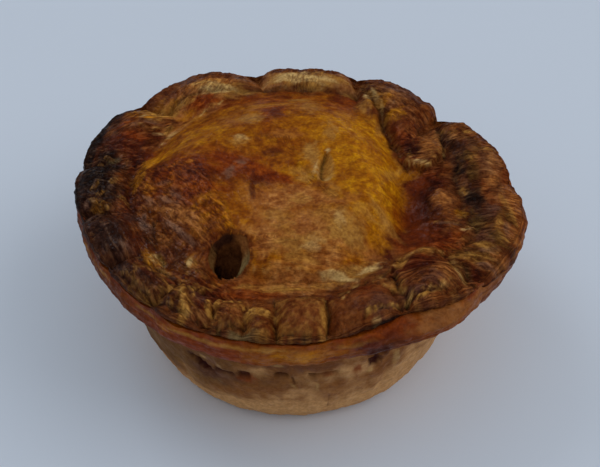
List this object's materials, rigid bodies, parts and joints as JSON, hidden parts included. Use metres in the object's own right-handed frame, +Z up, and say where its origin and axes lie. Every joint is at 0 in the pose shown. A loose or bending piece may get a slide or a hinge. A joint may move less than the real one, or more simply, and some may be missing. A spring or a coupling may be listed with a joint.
{
  "type": "pork pie",
  "caption": "Whole round pork pie with a deep, outward-leaning crust wall, a pinched and well browned rim, and a domed glazed lid with a steam hole.",
  "frame": {"origin": "centre of the flat base, on the plane that the pie stands on", "axes": "+Z up out of the lid, +Y to the back, +X to the right, as seen from the front"},
  "size_m": [0.1016, 0.0961, 0.0444],
  "materials": {
    "glazed_pastry": "egg-glazed baked pastry, mottled from golden to dark brown, half gloss on the lid and dull on the wall"
  },
  "bodies": {
    "root": {"pie": "glazed_pastry"}
  },
  "joints": []
}
